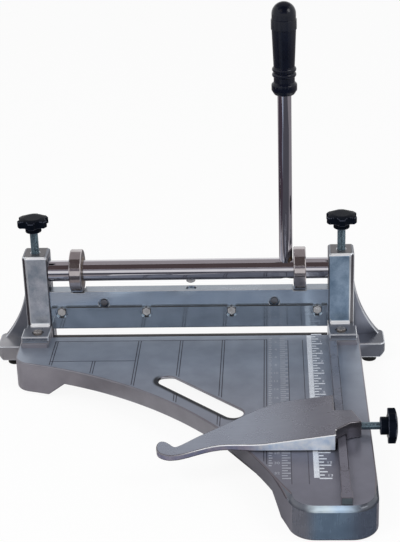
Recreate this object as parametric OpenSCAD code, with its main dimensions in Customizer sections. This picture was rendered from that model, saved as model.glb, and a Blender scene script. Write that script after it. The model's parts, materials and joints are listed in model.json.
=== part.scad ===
// Bench cutter for vinyl tiles. A lever turns an eccentric shaft, whose rollers press the blade bar down.
// Sizes are in millimetres. The table top and its rear edge are the zero of the working sizes.

/* [Throat] */
// Width of the throat between the two posts
throat_w = 339; // [320:1:352]
// Height of the throat under the upper blade at rest
throat_h = 8.4; // [7.6:0.2:9.4]
// Clearance between pieces that slide or swing past each other
slide_gap = 0.3; // [0.2:0.05:0.4]
// Clearance round a turning pin or shaft, on the radius
run_gap = 0.05; // [0.02:0.01:0.1]
// Clearance round a fixed screw, pin or bush, on the radius
fit_gap = 0.05; // [0.02:0.01:0.1]

/* [Table] */
// Depth from the rear edge to the front of the nose
table_d = 385; // [375:1:400]
// Table beyond each post, sideways
table_margin = 5.5; // [4:0.5:9]
// Height of the table top above the floor
stand_h = 41; // [40:0.5:46]
// Depth of the skirt below the table top
skirt_d = 20; // [18:0.5:24]
// Thickness of the top plate
plate_t = 8; // [7:0.5:9]
// Thickness of the skirt wall
skirt_t = 7; // [5:0.5:8]
// Thickness of the wall behind the lower blade
rear_t = 12; // [10:0.5:14]
// Thickness of the ribs under the plate
rib_t = 6; // [4:0.5:8]
// Cross rib in front of the rear edge
cross_rib_y = 66; // [60:1:68]
// Long rib right of the middle
long_rib_x = 104; // [96:1:140]
// Depth of the foot blocks below the table top
foot_d = 38; // [34:0.5:39]
// Radius of the swept front edge
sweep_r = 456.5; // [440:0.5:470]
// Radius of the left corner
corner_r = 22; // [16:1:30]
// Centre of the left corner in front of the rear edge
corner_y = 49.4; // [46:0.2:54]
// Radius of both nose corners
nose_r = 28; // [20:1:34]
// Centre of the nose's left corner, right of the middle
nose_x = 143; // [132:1:150]
// Width of the bevel round the nose
bevel_w = 4.5; // [3:0.5:7]
// Height of the bevel round the nose
bevel_h = 5.5; // [3:0.5:7]
// Length over which the bevel runs out along both sides
bevel_fade = 34; // [20:1:45]
// Length of the left foot along the front edge
left_foot_l = 41; // [36:1:50]
// Rear of the left foot in front of the rear edge
left_foot_rear = 20; // [16:1:26]
// Length of the nose foot from front to rear
nose_foot_l = 42; // [36:1:50]
// Length of the ramp from each foot up to the skirt
foot_ramp = 21; // [12:1:26]
// Height of the pads under the frame flanges
pad_h = 6; // [4:0.5:8]
// Front of the pads, from the rear edge
pad_d = 30; // [28:1:32]

/* [Carry slot] */
// Width of the slot
slot_w = 22; // [18:1:26]
// Distance between the centres of its round ends
slot_l = 108; // [90:1:116]
// Angle of the slot to the rear edge
slot_turn = 44.6; // [40:0.2:50]
// Middle of the slot, right of the middle
slot_x = 19.5; // [14:0.5:24]
// Middle of the slot, in front of the rear edge
slot_y = 155; // [150:1:160]
// Thickness of the lip round the slot
slot_lip = 3; // [2.5:0.1:4]
// Width of the relief under the slot's lip
slot_relief = 8; // [6:0.5:9]

/* [Grooves] */
// Spacing of the grooves in the table top
groove_pitch = 50.8; // [40:0.2:60]
// Width of each groove line
groove_w = 1; // [0.6:0.1:1.4]
// Distance between the two lines of a groove
groove_pair = 3; // [2:0.1:4]
// Depth of the grooves
groove_d = 0.6; // [0.3:0.1:1]
// Groove next to the middle, left of it
groove_x = 8.7; // [0:0.1:20]
// Line along the rear, in front of the rear edge
groove_start = 13; // [10:0.5:20]
// Line in front of the smooth panel at the left, from the rear edge
panel_d = 66; // [60:1:74]
// Number of grooves left of the middle
grooves_left = 4; // [3:1:4]
// Number of grooves right of the middle
grooves_right = 2; // [1:1:2]
// Smooth band along the table's edges and round the slot
groove_margin = 4; // [3:0.5:8]

/* [Side frames] */
// Width of each post
post_w = 31; // [29:0.5:36]
// Front face of the posts behind the rear edge
post_front = 6; // [5.5:0.1:6.2]
// Rear face of the posts behind the rear edge
post_rear = 40; // [39:0.5:46]
// Height of the posts above the table top
post_h = 103.5; // [101:0.5:112]
// Rounding of the posts' upright edges beside the throat
post_inner_r = 2; // [1:0.5:3]
// Chamfer of the posts' outer front edges
post_chamfer = 5; // [2:0.5:6]
// Rounding of the posts' top edges
post_top_r = 4; // [1.5:0.5:5]
// Thickness of the flanges on the pads
flange_t = 6; // [5:0.5:8]
// Front of the flanges, from the rear edge
flange_d = 25; // [22:0.5:27]
// Flange beyond the post, sideways
flange_side = 2.5; // [1:0.5:3.5]
// Radius between flange and post
flange_r = 5; // [2:0.5:8]
// Radius of the wings' swept edge
wing_r = 137; // [125:1:150]
// Height at which the wings leave the posts
wing_top = 75; // [70:1:85]
// Thickness of the wings
wing_t = 12; // [8:0.5:16]
// Reach of the outrigger feet beyond the posts
outrigger_l = 38; // [34:0.5:44]
// Top of the outrigger feet below the table top
outrigger_top = 13; // [11:0.5:15]
// Bottom of the outrigger feet below the table top
outrigger_bottom = 32; // [30:0.5:35]
// Rounding of the outrigger feet in plan
outrigger_r = 7; // [4:0.5:12]
// Chamfer under the outer end of the outrigger feet
outrigger_chamfer = 6; // [3:0.5:9]
// Depth of the guide slots into the posts
guide_depth = 18.5; // [18:0.1:19]
// Floor of the guide slots below the table top
guide_floor = 25; // [23:0.5:26]

/* [Blades] */
// Thickness of the lower blade
lower_blade_t = 5.7; // [5:0.1:5.8]
// Depth of the lower blade
lower_blade_h = 19; // [16:0.5:22]
// Side gap between the lower blade and each post
lower_blade_gap = 1.5; // [1:0.1:3]
// Thickness of the upper blade
blade_t = 4; // [3.8:0.1:4.4]
// Height of the upper blade
blade_h = 27.6; // [26:0.2:30]
// Side gap between the upper blade and each post
blade_gap = 1; // [0.6:0.1:3]
// Thickness of the blade bar
bar_t = 16; // [15:0.2:16.4]
// Height of the blade bar
bar_h = 42.2; // [40:0.2:44]
// Bottom of the blade bar above the table top
bar_bottom = 14; // [13:0.2:16]
// Reach of the bar into each post
tongue_l = 17; // [15:0.1:17.4]
// Outer blade bolts from the ends of the upper blade
bolt_inset = 12.5; // [10:0.5:17]
// Height of the blade bolts above the table top
bolt_z = 30.2; // [28:0.2:31]
// Width across the flats of the blade bolt heads
bolt_flats = 10.5; // [8:0.5:11]
// Height of the blade bolt heads
bolt_head_h = 2.6; // [2:0.1:2.8]
// Diameter of the blade bolts
bolt_d = 6; // [4:0.5:6.5]
// Diameter of the counterbores in the upper blade
bolt_bore_d = 15.5; // [14:0.5:17]
// Reach of the blade bolts into the bar
bolt_grip = 10; // [8:0.5:13]
// Relief ground behind the cutting edge
blade_relief = 1.2; // [0.5:0.1:2]
// Depth of the counterbores in the upper blade
bolt_bore_depth = 2.9; // [2.8:0.1:3.2]
// Height of the adjusting screws in the bar above the table top
bar_screw_z = 40; // [39:0.2:42]
// Diameter of the adjusting screws in the bar
bar_screw_d = 8; // [6:0.5:9]
// Diameter of the counterbores of the adjusting screws
bar_bore_d = 13; // [11:0.5:14]
// Depth of the counterbores of the adjusting screws
bar_bore_depth = 4; // [3:0.5:6]
// Ends of the adjusting screws below the bar's face
bar_screw_sink = 1.4; // [0.5:0.1:2]
// Depth of the holes of the adjusting screws
bar_screw_l = 13; // [10:0.5:14]

/* [Cam shaft] */
// Diameter of the shaft
shaft_d = 25.4; // [25.2:0.1:28]
// Diameter of the eccentric journals
journal_d = 12; // [10:0.1:12]
// Offset of the journals from the shaft's axis
throw = 6.6; // [6:0.05:6.6]
// Side gap between the shaft and each post
shaft_gap = 0.5; // [0.4:0.1:1.5]
// Diameter of the rollers
roller_d = 52; // [50:0.5:54]
// Width of the rollers
roller_w = 14.5; // [12:0.5:15]
// Rollers from the middle of the throat
roller_x = 135; // [134:0.5:140]
// Depth of the roller pockets in the bar
pocket_depth = 2; // [1.5:0.1:3]
// Room between a roller and its pocket at rest
roller_gap = 0.5; // [0.4:0.05:0.7]
// Wall of the bronze bushes in the rollers
roller_bush_t = 4.2; // [3:0.1:6]
// Width of the round button under the shaft
button_d = 11; // [8:0.5:12]
// Height of the button under the shaft
button_h = 4.5; // [3:0.5:6]
// Radius of the button's dome
button_ball = 8; // [6.5:0.5:12]
// Depth of the spot faces on the shaft
spot_depth = 0.2; // [0.1:0.05:0.5]
// Chamfer of the rollers' edges
roller_chamfer = 1; // [0.5:0.1:2]
// Room beside the rollers in their pockets
pocket_side = 0.75; // [0.5:0.05:1.5]
// Button from the middle of the throat
button_x = 3; // [0:0.5:10]

/* [Bearings] */
// Width of the bearing blocks
block_w = 25.6; // [22:0.2:25.8]
// Height of the bearing blocks
block_h = 31; // [28:0.2:31.6]
// Length of the bearing blocks along the shaft
block_l = 22; // [19:0.5:22.4]
// Room above the blocks for setting the depth
block_travel = 3.5; // [2:0.1:4]
// Wall of the bushes in the blocks
bush_t = 2.5; // [1.5:0.1:4]
// Diameter of the spring wire
wire_d = 1.8; // [1.4:0.1:2.2]
// Outside diameter of the return springs
spring_d = 14; // [11:0.2:14.6]
// Turns of the return springs
spring_turns = 8; // [6:1:9]

/* [Lever] */
// Lever from the middle of the throat
rod_x = 118.5; // [112:0.5:119]
// Diameter of the lever rod
rod_d = 16; // [13:0.5:16.5]
// Diameter of the spigots at both ends of the rod
spigot_d = 12; // [8:0.5:12.5]
// Flat under the shaft round the end of the spigot
spot_d = 18; // [16:0.5:19]
// Lower end of the grip above the shaft's axis
grip_start = 218; // [200:1:230]
// Length of the grip
grip_l = 107.5; // [95:0.5:115]
// Diameter of the grip at its widest
grip_d = 29.5; // [27:0.5:34]
// Depth of the grip's body below its widest
grip_inset = 0.8; // [0.4:0.1:1.5]
// Depth of the grip's waist below its widest
grip_waist = 2.6; // [1.5:0.1:3.5]
// Lower edge of the grip's flange
grip_foot = 5.4; // [4:0.2:7]
// Upper edge of the grip's flange
grip_neck = 12.3; // [10:0.2:14]
// Lower edge of the grip's two rings
grip_rings = 20.4; // [18:0.2:24]
// Radius of the grip's two rings
ring_r = 3.1; // [2:0.1:4]
// Lower edge of the grip's band
grip_band = 76; // [70:0.5:80]
// Height of the grip's band
grip_band_h = 12; // [8:0.5:14]
// Length of the rod's tang in the grip
tang_l = 74; // [60:1:84]

/* [Depth screws] */
// Screws outside the inner face of the posts
stud_inset = 15.8; // [14:0.2:16.4]
// Diameter of the screws
stud_d = 9.5; // [8:0.1:10.5]
// Lower face of the knobs above the table top
knob_z = 131; // [126:0.5:138]
// Diameter of the star knobs
knob_d = 38; // [34:0.5:42]
// Number of lobes on the star knobs
knob_lobes = 6; // [5:1:8]
// Height of the star knobs' heads
knob_head_h = 11; // [9:0.5:14]
// Diameter of the star knobs' hubs
hub_d = 19.4; // [16:0.2:22]
// Height of the star knobs' hubs
hub_h = 8; // [5:0.5:11]
// Reach of the studs into the star knobs' heads
knob_bite = 6; // [4:0.5:7]
// Radius of the hollows between the lobes
flute_r = 8.5; // [7:0.5:12]
// Depth of the hollows between the lobes
flute_depth = 4; // [2.5:0.1:4.5]
// Diameter of the dish in the star knobs' tops
dish_d = 22; // [16:0.5:25]
// Depth of the dish in the star knobs' tops
dish_depth = 0.8; // [0.4:0.1:1.2]
// Radius of the crown on the star knobs
knob_crown_r = 60; // [40:1:90]

/* [Gauge] */
// Gauge's fence in front of the rear edge
gauge_y = 190; // [120:1:230]
// Rail inside the inner face of the right post
rail_inset = 1; // [0:0.1:2]
// Width of the rail
rail_w = 9.5; // [8:0.1:10]
// Height of the rail
rail_h = 7.7; // [6:0.1:8]
// Start of the rail in front of the rear edge
rail_start = 32.5; // [32.5:0.5:36]
// Front of the rail's stop behind the front of the table
stop_setback = 5.5; // [4:0.5:12]
// Length of the stop at the end of the rail
stop_l = 13; // [10:0.5:14]
// Reach of the stop beyond each side of the rail
stop_side = 1; // [0.5:0.1:1.5]
// Height of the stop above the table top
stop_h = 8.4; // [7:0.1:10]
// Height of the clamp saddle above the table top
saddle_h = 20; // [18:0.5:24]
// Width of the clamp saddle from the rail's inner side
saddle_w = 26.5; // [24:0.5:30]
// Front corner of the saddle outside the rail
saddle_wall = 4.8; // [3:0.1:6]
// Gap between the gauge's side and the rail in front of the saddle
gauge_side = 1.5; // [0.5:0.1:2]
// Height of the handle end of the gauge above the table top
arm_h = 7; // [5:0.5:9]
// Fall of the arm's top over its narrow part
arm_fall = 2; // [1:0.1:3]
// Length of the gauge from the rail to the tip of its handle
gauge_l = 190; // [180:1:200]
// Depth of the gauge from the fence to the tip of its handle
gauge_d = 115; // [105:1:122]
// Front corner of the saddle in front of the clamp screw
boss_front = 14; // [10:0.5:16]
// Slope of the saddle's front towards the gauge's side
boss_lead = 14.4; // [8:0.2:16]
// Slope of the saddle's front towards its outer corner
boss_fall = 2.6; // [1:0.2:5]
// Rear of the saddle behind the clamp screw
boss_rear = 14; // [10:0.5:16]
// Draft of the saddle's outer side
boss_slope = 9; // [5:0.5:11]
// Diameter of the clamp screw
clamp_d = 8; // [6:0.5:9]
// Height of the clamp screw above the table top
clamp_z = 8; // [7:0.5:10]
// Clamp screw in front of the fence
clamp_y = 48; // [46:0.5:50]
// Face of the clamp knob's hub outside the rail
clamp_knob_x = 46.5; // [44:0.5:52]
// Thickness of the clamp shoe
shoe_t = 3; // [2:0.1:4]

/* [Fasteners and feet] */
// Diameter of the frame bolts
frame_bolt_d = 6; // [5:0.5:7]
// Width across the flats of the frame bolt heads
frame_bolt_flats = 10; // [8:0.5:10.5]
// Height of the frame bolt heads
frame_bolt_head_h = 4; // [3:0.5:5]
// Recess of the flange bolts in the flange
flange_recess = 1.5; // [0.5:0.5:2.5]
// Flange bolts in front of the rear edge
flange_bolt_y = 13; // [11:0.5:14]
// Flange bolts outside the inner face of the posts
flange_bolt_x = 14.5; // [12:0.5:18]
// Diameter of the small countersunk screws
screw_d = 4; // [3:0.5:4.5]
// Diameter of the rubber feet
foot_pad_d = 19; // [16:0.5:24]
// Outrigger feet outside the posts
outrigger_pad_x = 19.5; // [16:0.5:24]
// Outrigger feet behind the rear edge
outrigger_pad_y = 16; // [13:0.5:24]
// Length of the foot screws in the castings
foot_screw_l = 10; // [8:0.5:14]
// Diameter of the foot screw heads
foot_head_d = 8; // [6:0.5:9]
// Room round the foot screw heads
foot_head_gap = 0.5; // [0.3:0.1:1]
// Height of the foot screw heads
foot_head_h = 1.4; // [1:0.1:1.6]
// Thickness of the rubber under the foot screw heads' seats
foot_web = 1.2; // [1:0.1:1.5]
// Spacing of the lower blade screws
lower_screw_pitch = 75; // [65:1:78]
// Number of screws along the rail
rail_screw_count = 4; // [3:1:5]
// Metal left under the end of a blind screw hole
blind_t = 2; // [1.5:0.1:3]
// Reach of the rear bolts into the frames
rear_bolt_grip = 14; // [10:0.5:18]
// Rear bolts outside the inner face of the posts
rear_bolt_inset = 22.5; // [22.2:0.1:23]
// Rear bolts below the table top
rear_bolt_z = 14; // [14:0.1:14.2]

/* [Hidden] */
$fn = 64;
over = 1;
rings_per_turn = 8;
wire_sides = 6;

post_in = throat_w / 2;
post_out = post_in + post_w;
half_w = post_out + table_margin;
stud_x = post_in + stud_inset;
guide_mid = post_in + guide_depth / 2;

blade_y = lower_blade_t + slide_gap;
bar_y = blade_y + blade_t;
bar_top = bar_bottom + bar_h;
roller_r = roller_d / 2;
shaft_r = shaft_d / 2;
shaft_y = bar_y + bar_t / 2;
shaft_z = bar_top - pocket_depth + roller_gap + roller_r;
axle_y = shaft_y + throw * cos(45);
axle_z = shaft_z - throw * sin(45);
rear_reach = max(post_rear, shaft_y + roller_r);
journal_l = block_l - shaft_gap;
roller_bore_d = shaft_d + 2 * roller_bush_t;
rod_seat = sqrt(shaft_r ^ 2 - (rod_d / 2) ^ 2) - spot_depth;
spot_seat = sqrt(shaft_r ^ 2 - (spot_d / 2) ^ 2);
button_seat = sqrt(shaft_r ^ 2 - (button_d / 2) ^ 2) - spot_depth;
pocket_w = roller_w + 2 * pocket_side;
bolt_l = blade_t - bolt_bore_depth + bolt_grip;
bolt_pitch = 2 * (post_in - blade_gap - bolt_inset) / 3;
bush_d = journal_d + 2 * (run_gap + bush_t);
grip_r = grip_d / 2;
dome_r = grip_r - grip_inset;
block_x = post_in + shaft_gap;
block_floor = axle_z - block_h / 2;
block_top = axle_z + block_h / 2;
spring_l = guide_floor + bar_bottom - slide_gap;

flange_bolt_l = flange_t - flange_recess + pad_h + plate_t - blind_t;
rear_bolt_l = rear_t + rear_bolt_grip;
rear_bolt_x = post_in + rear_bolt_inset;
lower_screw_l = lower_blade_t + rear_t - blind_t;
rail_screw_l = rail_h + plate_t - blind_t;
stop_screw_l = stop_h + plate_t - blind_t;

rail_x = post_in - rail_inset;
rail_mid = rail_x + rail_w / 2;
rail_l = table_d - rail_start - stop_l - stop_setback;
stop_y = rail_start + rail_l;
clamp_x = rail_x + rail_w + slide_gap;
shoe_end = clamp_x + shoe_t;

corner_c = [-half_w + corner_r, -corner_y];
nose_c = [nose_x, -table_d + nose_r];
sweep_c = sweep_centre(nose_c - corner_c);
nose_right_c = [half_w - nose_r, nose_c.y];
nose_pad_at = (nose_c + nose_right_c) / 2;

// Centre of the sweep that touches the rounded corner and the rounded nose
function sweep_centre(span) =
    let (near = sweep_r + corner_r, far = sweep_r + nose_r, d = norm(span))
    let (part = (near ^ 2 - far ^ 2 + d ^ 2) / (2 * d))
    corner_c + (part * span + sqrt(near ^ 2 - part ^ 2) * [span.y, -span.x]) / d;

// Point on the way from one point towards another, at a given distance
function towards(from, to, distance) = from + (to - from) * distance / norm(to - from);

// Points along one smooth curve with two guide points
function curve(a, b, c, d, steps = 8) = [
    for (i = [0:steps - 1])
        let (t = i / steps, s = 1 - t)
        s ^ 3 * a + 3 * s ^ 2 * t * b + 3 * s * t ^ 2 * c + t ^ 3 * d
];

// From the working zero to the floor under the middle of the whole cutter
module seat() translate([0, (table_d - rear_reach) / 2, stand_h]) children();

module both_sides() {
    children();
    mirror([1, 0, 0]) children();
}

// A block, a rod along Y and a rod along X, each given from end to end
module block(x0, x1, y0, y1, z0, z1) translate([x0, y0, z0]) cube([x1 - x0, y1 - y0, z1 - z0]);

module along_y(y0, y1, d) translate([0, y0, 0]) rotate([-90, 0, 0]) cylinder(h = y1 - y0, d = d);

module along_x(x0, x1, d) translate([x0, 0, 0]) rotate([0, 90, 0]) cylinder(h = x1 - x0, d = d);

// Bolt with a hexagon head, seat at zero and shank downwards
module hex_bolt(flats, head_h, d, l) {
    rotate(30) cylinder(h = head_h, d = flats / cos(30), $fn = 6);
    translate([0, 0, -l]) cylinder(h = l + head_h / 2, d = d);
}

// Countersunk screw, top of the head at zero
module sunk_screw(d, l) {
    translate([0, 0, -d / 2]) cylinder(h = d / 2, d1 = d, d2 = 2 * d);
    translate([0, 0, -l]) cylinder(h = l, d = d);
}

// Hole for a screw or pin of a given size, from end to end
module hole(d, z0, z1) translate([0, 0, z0]) cylinder(h = z1 - z0, d = d + 2 * fit_gap);

module sunk_hole(d, l) {
    translate([0, 0, -d / 2 - fit_gap]) cylinder(h = d / 2 + over, d1 = d, d2 = 2 * (d + over));
    hole(d, -l, 0);
}

// An outline given in Y and Z and drawn out along X
module extrude_x(x0, x1) translate([x0, 0, 0]) rotate([90, 0, 90]) linear_extrude(x1 - x0) children();

// An outline given in X and Z and drawn out along Y
module extrude_y(y0, y1) translate([0, y1, 0]) rotate([90, 0, 0]) linear_extrude(y1 - y0) children();

// A panel with two rounded upper corners
module round_top(x0, x1, z0, z1, r) {
    translate([x0, z0]) square([x1 - x0, z1 - z0 - r]);
    translate([x0 + r, z0]) square([x1 - x0 - 2 * r, z1 - z0]);
    for (x = [x0 + r, x1 - r]) translate([x, z1 - r]) circle(r);
}

// Outline of the table, drawn in by a wall and by another wall at the rear
module table_plan(wall = 0, rear_wall = 0) {
    difference() {
        union() {
            polygon([
                [-half_w + wall, -rear_wall],
                [-half_w + wall, corner_c.y],
                corner_c,
                towards(corner_c, sweep_c, corner_r - wall),
                towards(nose_c, sweep_c, nose_r - wall),
                nose_c,
                [nose_c.x, -table_d + wall],
                [nose_right_c.x, -table_d + wall],
                nose_right_c,
                [half_w - wall, nose_right_c.y],
                [half_w - wall, -rear_wall]
            ]);
            translate(corner_c) circle(corner_r - wall);
            for (c = [nose_c, nose_right_c]) translate(c) circle(nose_r - wall);
        }
        translate(sweep_c) circle(sweep_r + wall, $fn = 360);
    }
}

module slot_plan(wider = 0) {
    translate([slot_x, -slot_y]) rotate(-slot_turn) {
        square([slot_l, slot_w + 2 * wider], center = true);
        for (end = [-1, 1]) translate([end * slot_l / 2, 0]) circle(d = slot_w + 2 * wider);
    }
}

// A groove line between two points of the table top, along X or along Y
module groove_line(from, to) {
    translate(from - [groove_w, groove_w] / 2) square(to - from + [groove_w, groove_w]);
}

function groove_at(i) = i * groove_pitch - groove_x;

// Pairs of lines from rear to front, closed by a line at the rear and one in front of the panel
module grooves_plan() {
    first = groove_at(1 - grooves_left) - groove_pair / 2;
    last = groove_at(grooves_right) + groove_pair / 2;
    panel_end = groove_at(3 - grooves_left) - groove_pair / 2;
    difference() {
        intersection() {
            union() {
                for (i = [1 - grooves_left:grooves_right]) {
                    start = i == 2 - grooves_left ? panel_d : groove_start;
                    for (side = [-1, 1]) {
                        x = groove_at(i) + side * groove_pair / 2;
                        groove_line([x, -table_d], [x, -start]);
                    }
                }
                groove_line([first, -groove_start], [last, -groove_start]);
                groove_line([first, -panel_d], [panel_end, -panel_d]);
            }
            table_plan(groove_margin);
        }
        slot_plan(groove_margin);
    }
}

module ribs_plan() {
    translate([-half_w, -cross_rib_y - rib_t]) square([2 * half_w, rib_t]);
    translate([long_rib_x, -table_d]) square([rib_t, table_d - cross_rib_y]);
}

// Top layer of the table, bevelled round the nose
module bevelled_layer() {
    linear_extrude(bevel_h) intersection() {
        table_plan();
        translate([-half_w, nose_c.y]) square([2 * half_w, -nose_c.y]);
    }
    for (c = [nose_c, nose_right_c]) translate(c) cylinder(h = bevel_h, r1 = nose_r, r2 = nose_r - bevel_w);
    extrude_x(nose_c.x, nose_right_c.x) polygon([
        [-table_d, 0], [nose_c.y, 0], [nose_c.y, bevel_h], [-table_d + bevel_w, bevel_h]
    ]);
}

// Point of the sweep at a given distance from the rear edge
function sweep_at(y) = [sweep_c.x + sqrt(sweep_r ^ 2 - (y - sweep_c.y) ^ 2), y, 0];

// Space above the plane through three points, limited to what lies behind the middle of the nose's rounding
module above_plane(a, b, c) {
    n = cross(b - a, c - a) * sign(cross(b - a, c - a).z);
    reach = 2 * bevel_fade;
    intersection() {
        translate(a) rotate([0, acos(n.z / norm(n)), atan2(n.y, n.x)]) translate([-reach, -reach, 0]) {
            cube([2 * reach, 2 * reach, reach]);
        }
        translate([a.x - reach, nose_c.y, -bevel_h]) cube([2 * reach, reach, 2 * bevel_h]);
    }
}

module bevel_ends() {
    fade_y = nose_c.y + bevel_fade;
    left_top = [nose_c.x - nose_r + bevel_w, nose_c.y, 0];
    right_top = [half_w - bevel_w, nose_c.y, 0];
    above_plane(left_top, sweep_at(nose_c.y) - [0, 0, bevel_h], sweep_at(fade_y));
    above_plane(right_top, [half_w, nose_c.y, -bevel_h], [half_w, fade_y, 0]);
}

module table_feet() {
    intersection() {
        translate([0, 0, -foot_d]) linear_extrude(foot_d - plate_t + over) table_plan();
        union() {
            extrude_y(-table_d, -left_foot_rear) polygon([
                [-half_w - over, -foot_d - over],
                [-half_w + left_foot_l, -foot_d - over],
                [-half_w + left_foot_l, -foot_d],
                [-half_w + left_foot_l + foot_ramp, -skirt_d],
                [-half_w + left_foot_l + foot_ramp, 0],
                [-half_w - over, 0]
            ]);
            extrude_x(0, half_w + over) polygon([
                [-table_d - over, -foot_d - over],
                [-table_d + nose_foot_l, -foot_d - over],
                [-table_d + nose_foot_l, -foot_d],
                [-table_d + nose_foot_l + foot_ramp, -skirt_d],
                [-table_d + nose_foot_l + foot_ramp, 0],
                [-table_d - over, 0]
            ]);
        }
    }
}

module at_flange_bolts() {
    seat_z = pad_h + flange_t - flange_recess;
    both_sides() translate([post_in + flange_bolt_x, -flange_bolt_y, seat_z]) children();
}

module at_rear_bolts() {
    both_sides() translate([rear_bolt_x, -rear_t, -rear_bolt_z]) rotate([90, 0, 0]) children();
}

module at_lower_blade_screws() {
    for (i = [-2:2]) {
        translate([i * lower_screw_pitch, lower_blade_t, -lower_blade_h / 2]) rotate([-90, 0, 0]) children();
    }
}

module at_rail_screws() {
    for (i = [0:rail_screw_count - 1]) {
        translate([rail_mid, -rail_start - rail_l * (i + 0.5) / rail_screw_count, rail_h]) children();
    }
}

module at_stop_screw() translate([rail_mid, -stop_y - stop_l / 2, stop_h]) children();

// Places of the rubber feet, each at the face that it is screwed to
module at_table_feet() for (c = [corner_c, nose_pad_at]) translate([c.x, c.y, -foot_d]) children();

module at_outrigger_feet() {
    both_sides() translate([post_out + outrigger_pad_x, outrigger_pad_y, -outrigger_bottom]) children();
}

module table() seat() color("slategray") difference() {
    union() {
        difference() {
            union() {
                translate([0, 0, -skirt_d]) linear_extrude(skirt_d - bevel_h) table_plan();
                translate([0, 0, -bevel_h]) bevelled_layer();
            }
            translate([0, 0, -skirt_d - over]) linear_extrude(skirt_d - plate_t + over) difference() {
                table_plan(skirt_t, rear_t);
                ribs_plan();
            }
        }
        table_feet();
        both_sides() block(post_in + shaft_gap, post_out + flange_side, -pad_d, 0, -plate_t / 2, pad_h);
    }
    translate([0, 0, -foot_d]) linear_extrude(foot_d + over) slot_plan();
    translate([0, 0, -foot_d]) linear_extrude(foot_d - slot_lip) slot_plan(slot_relief);
    translate([0, 0, -groove_d]) linear_extrude(groove_d + over) grooves_plan();
    bevel_ends();
    at_flange_bolts() hole(frame_bolt_d, -flange_bolt_l, 0);
    at_rear_bolts() hole(frame_bolt_d, -rear_t - over, over);
    at_lower_blade_screws() hole(screw_d, -lower_screw_l, 0);
    at_rail_screws() hole(screw_d, -rail_screw_l, 0);
    at_stop_screw() hole(screw_d, -stop_screw_l, 0);
    at_table_feet() hole(screw_d, -over, foot_screw_l);
}

module lower_blade() seat() color("dimgray") difference() {
    block(-post_in + lower_blade_gap, post_in - lower_blade_gap, 0, lower_blade_t, -lower_blade_h, 0);
    at_lower_blade_screws() sunk_hole(screw_d, lower_screw_l);
}

module lower_blade_screws() seat() color("silver") at_lower_blade_screws() sunk_screw(screw_d, lower_screw_l);

// Outline of a post seen from above
module post_plan() {
    difference() {
        polygon([
            [post_in, post_front],
            [post_out - post_chamfer, post_front],
            [post_out, post_front + post_chamfer],
            [post_out, post_rear],
            [post_in, post_rear]
        ]);
        difference() {
            translate([post_in - over, post_front - over]) square(post_inner_r + over);
            translate([post_in + post_inner_r, post_front + post_inner_r]) circle(post_inner_r);
        }
    }
}

module post() {
    intersection() {
        translate([0, 0, -outrigger_bottom]) linear_extrude(outrigger_bottom + post_h) post_plan();
        extrude_x(post_in, post_out) round_top(post_front, post_rear, -outrigger_bottom, post_h, post_top_r);
        extrude_y(post_front, post_rear) round_top(post_in, post_out, -outrigger_bottom, post_h, post_top_r);
    }
    block(post_in, post_out, 0, post_front + post_chamfer, -outrigger_bottom, pad_h + flange_t);
    block(post_in, post_out + flange_side, -flange_d, 0, pad_h, pad_h + flange_t);
    extrude_x(post_in + post_inner_r, post_out - post_chamfer) {
        translate([post_front - flange_r, pad_h + flange_t]) difference() {
            translate([0, -over]) square([flange_r + over, flange_r + over]);
            translate([0, flange_r]) circle(flange_r);
        }
    }
}

// Swept wing behind the table, down to the outrigger foot
module wing() {
    extrude_y(post_rear - wing_t, post_rear) difference() {
        translate([post_out - over, -outrigger_bottom]) {
            square([outrigger_l + over - outrigger_chamfer, wing_top + outrigger_bottom]);
        }
        translate([post_out + wing_r, wing_top]) circle(wing_r, $fn = 180);
    }
}

module outrigger() {
    intersection() {
        translate([0, 0, -outrigger_bottom]) linear_extrude(outrigger_bottom - outrigger_top) {
            translate([post_out - over, 0]) square([outrigger_l + over - outrigger_r, post_rear]);
            translate([post_out - over, outrigger_r]) {
                square([outrigger_l + over, post_rear - 2 * outrigger_r]);
            }
            for (y = [outrigger_r, post_rear - outrigger_r]) {
                translate([post_out + outrigger_l - outrigger_r, y]) circle(outrigger_r);
            }
        }
        extrude_y(-over, post_rear + over) polygon([
            [post_out - 2 * over, -outrigger_bottom],
            [post_out + outrigger_l - outrigger_chamfer, -outrigger_bottom],
            [post_out + outrigger_l + over, -outrigger_bottom + outrigger_chamfer + over],
            [post_out + outrigger_l + over, 0],
            [post_out - 2 * over, 0]
        ]);
    }
}

module frame() {
    difference() {
        union() {
            post();
            wing();
            outrigger();
        }
        block(post_in - over, post_in + guide_depth, bar_y - slide_gap, bar_y + bar_t + slide_gap,
            -guide_floor, block_floor + over);
        block(post_in - over, block_x + block_l + slide_gap, axle_y - block_w / 2 - slide_gap,
            axle_y + block_w / 2 + slide_gap, block_floor, block_top + block_travel);
        translate([stud_x, axle_y, block_top]) cylinder(h = post_h, d = stud_d + 2 * run_gap);
        at_flange_bolts() {
            hole(frame_bolt_d, -flange_bolt_l, over);
            cylinder(h = flange_recess + over, d = frame_bolt_flats / cos(30) + 2 * flange_recess);
        }
        at_rear_bolts() hole(frame_bolt_d, -rear_bolt_l, 0);
        at_outrigger_feet() hole(screw_d, -over, foot_screw_l);
    }
}

module left_frame() seat() color("lightsteelblue") mirror([1, 0, 0]) frame();

module right_frame() seat() color("lightsteelblue") frame();

module frame_bolt(l) hex_bolt(frame_bolt_flats, frame_bolt_head_h, frame_bolt_d, l);

module frame_bolts() seat() color("darkgray") at_flange_bolts() frame_bolt(flange_bolt_l);

module rear_bolts() seat() color("darkgray") at_rear_bolts() frame_bolt(rear_bolt_l);

module bearing_block() {
    difference() {
        block(block_x, block_x + block_l, axle_y - block_w / 2, axle_y + block_w / 2, block_floor, block_top);
        translate([0, axle_y, axle_z]) {
            along_x(block_x - over, block_x + block_l + over, bush_d + 2 * fit_gap);
        }
    }
}

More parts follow.
